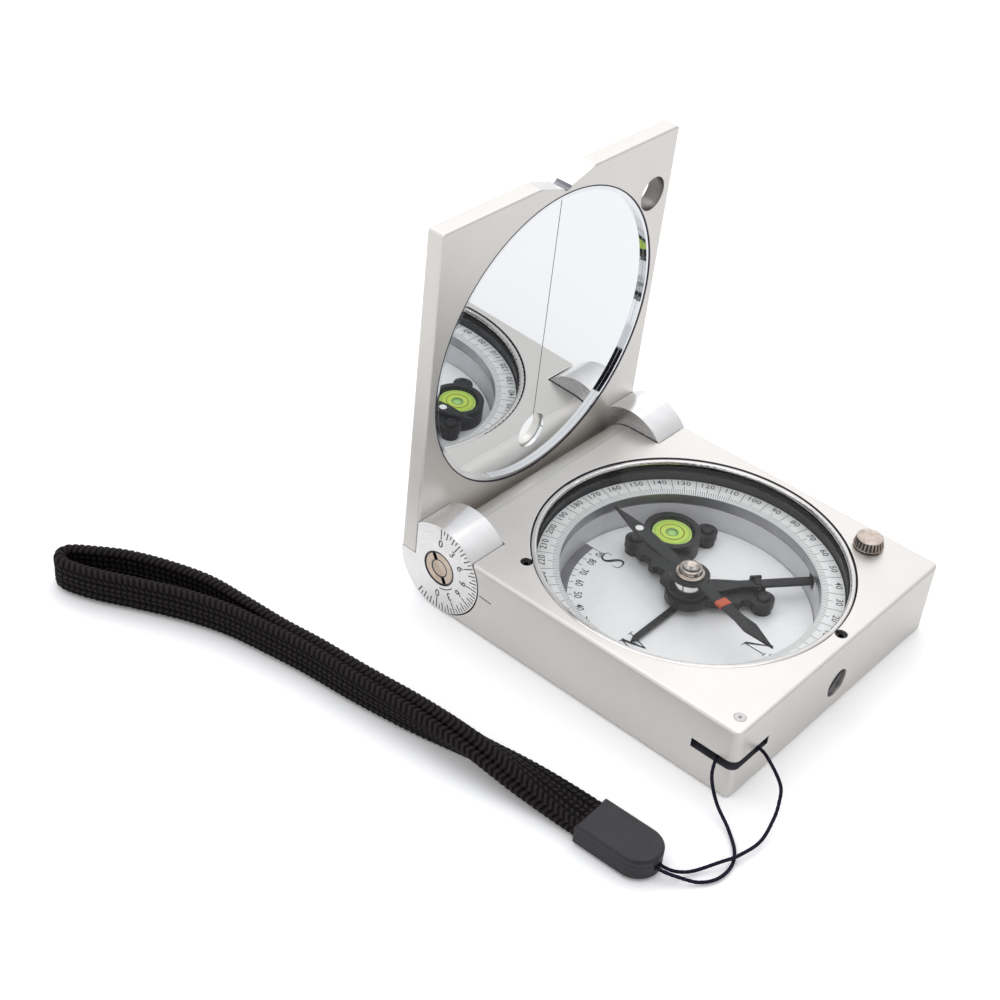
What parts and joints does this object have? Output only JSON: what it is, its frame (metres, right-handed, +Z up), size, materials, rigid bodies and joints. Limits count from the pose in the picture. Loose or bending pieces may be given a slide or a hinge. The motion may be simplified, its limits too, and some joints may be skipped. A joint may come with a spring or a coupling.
{
  "type": "geological compass",
  "caption": "Pocket geological compass: square case with a rotating dial and needle under glass, hinged mirror lid with a graduated hinge disc, and a wrist lanyard.",
  "frame": {"origin": "middle of the footprint of case and open lid, on the bottom face of the case", "axes": "+X along the hinge away from the graduated disc, +Y from the front face to the hinge, +Z up out of the dial"},
  "size_m": [0.1299, 0.1537, 0.0903],
  "materials": {
    "satin_aluminium": "bead blasted and clear anodised",
    "bright_chrome": "polished",
    "window_glass": "clear float glass",
    "black_rubber": "matt",
    "black_plastic": "fine grained",
    "black_coat": "satin black",
    "white_print": "white enamel with black print",
    "dial_white": "white enamel with black print",
    "turned_aluminium": "turned and polished",
    "bare_steel": "ground",
    "nickel": "nickel plated and turned",
    "turned_brass": "turned",
    "vial_glass": "clear",
    "level_liquid": "coloured liquid",
    "mirror_silver": "silvered glass",
    "red_paint": "orange red",
    "black_cord": "braided nylon",
    "black_webbing": "braided polyester",
    "clasp_plastic": "moulded"
  },
  "bodies": {
    "case": {"case_block": "satin_aluminium", "bezel_ring": "bright_chrome", "window_glass": "window_glass", "glass_gasket": "black_rubber", "chamber_sleeve": "black_plastic", "bezel_screws": "black_coat", "scale_plate": "white_print", "centre_post": "turned_aluminium", "pivot_point": "bare_steel", "level_bracket": "black_coat", "lever_stand": "black_coat", "bracket_screws": "black_coat", "level_vial": "vial_glass", "level_fluid": "level_liquid", "lever_pin": "bare_steel", "lanyard_pin": "turned_aluminium", "hinge_pins": "nickel", "hinge_nuts": "nickel", "hinge_washers": "bare_steel", "pinion_bush": "turned_brass", "knob_bush": "turned_brass", "string_left": "black_cord", "string_right": "black_cord", "clasp_base": "clasp_plastic", "clasp_cover": "clasp_plastic", "wrist_strap": "black_webbing"},
    "lid": {"lid_plate": "satin_aluminium", "mirror_glass": "mirror_silver", "mirror_ring": "bright_chrome", "sight_window": "window_glass", "knuckle_left": "turned_aluminium", "knuckle_right": "turned_aluminium", "knuckle_screws": "bare_steel"},
    "dial": {"dial_ring": "dial_white"},
    "dial_drive": {"dial_pinion": "turned_brass", "dial_screw": "bare_steel"},
    "lock": {"lock_knob": "nickel", "knob_stem": "nickel"},
    "lever": {"lift_lever": "black_coat"},
    "lifter": {"needle_lifter": "turned_aluminium"},
    "needle": {"needle_bar": "black_coat", "needle_cap": "nickel", "needle_jewel": "window_glass", "counterweight": "red_paint"},
    "clinometer": {"clinometer_pointer": "black_coat"}
  },
  "joints": [
    {"name": "lid_hinge", "type": "hinge", "parent": "case", "child": "lid", "pos_m": [0, 0.0339, 0.0111], "axis": [-1, 0, 0], "range_deg": [-88.5, 91.3]},
    {"name": "dial_turn", "type": "hinge", "parent": "case", "child": "dial", "pos_m": [0, -0.00575, 0.0115], "axis": [0, 0, 1], "continuous": true},
    {"name": "drive_turn", "type": "hinge", "parent": "case", "child": "dial_drive", "pos_m": [0, -0.0425, 0.007], "axis": [0, 1, 0], "continuous": true},
    {"name": "lock_turn", "type": "hinge", "parent": "case", "child": "lock", "pos_m": [0.0312, -0.0305, 0.018], "axis": [0, 0, -1], "range_deg": [0, 180]},
    {"name": "lever_tilt", "type": "hinge", "parent": "case", "child": "lever", "pos_m": [0.01253, -0.01569, 0.00785], "axis": [0.6215, 0.7834, 0], "range_deg": [0, 2.01]},
    {"name": "lifter_rise", "type": "slide", "parent": "case", "child": "lifter", "axis": [0, 0, 1], "range_m": [0, 0.0006]},
    {"name": "needle_spin", "type": "hinge", "parent": "lifter", "child": "needle", "pos_m": [0, -0.00575, 0.0118], "axis": [0, 0, 1], "continuous": true},
    {"name": "clinometer_swing", "type": "hinge", "parent": "case", "child": "clinometer", "pos_m": [0, -0.00575, 0.0043], "axis": [0, 0, 1], "range_deg": [-90, 90]}
  ],
  "couplings": [
    {"joint": "drive_turn", "follows": "dial_turn", "ratio": 10.5},
    {"joint": "lock_turn", "follows": "lifter_rise", "rad_per_m": 5236},
    {"joint": "lever_tilt", "follows": "lifter_rise", "rad_per_m": 58.178}
  ]
}
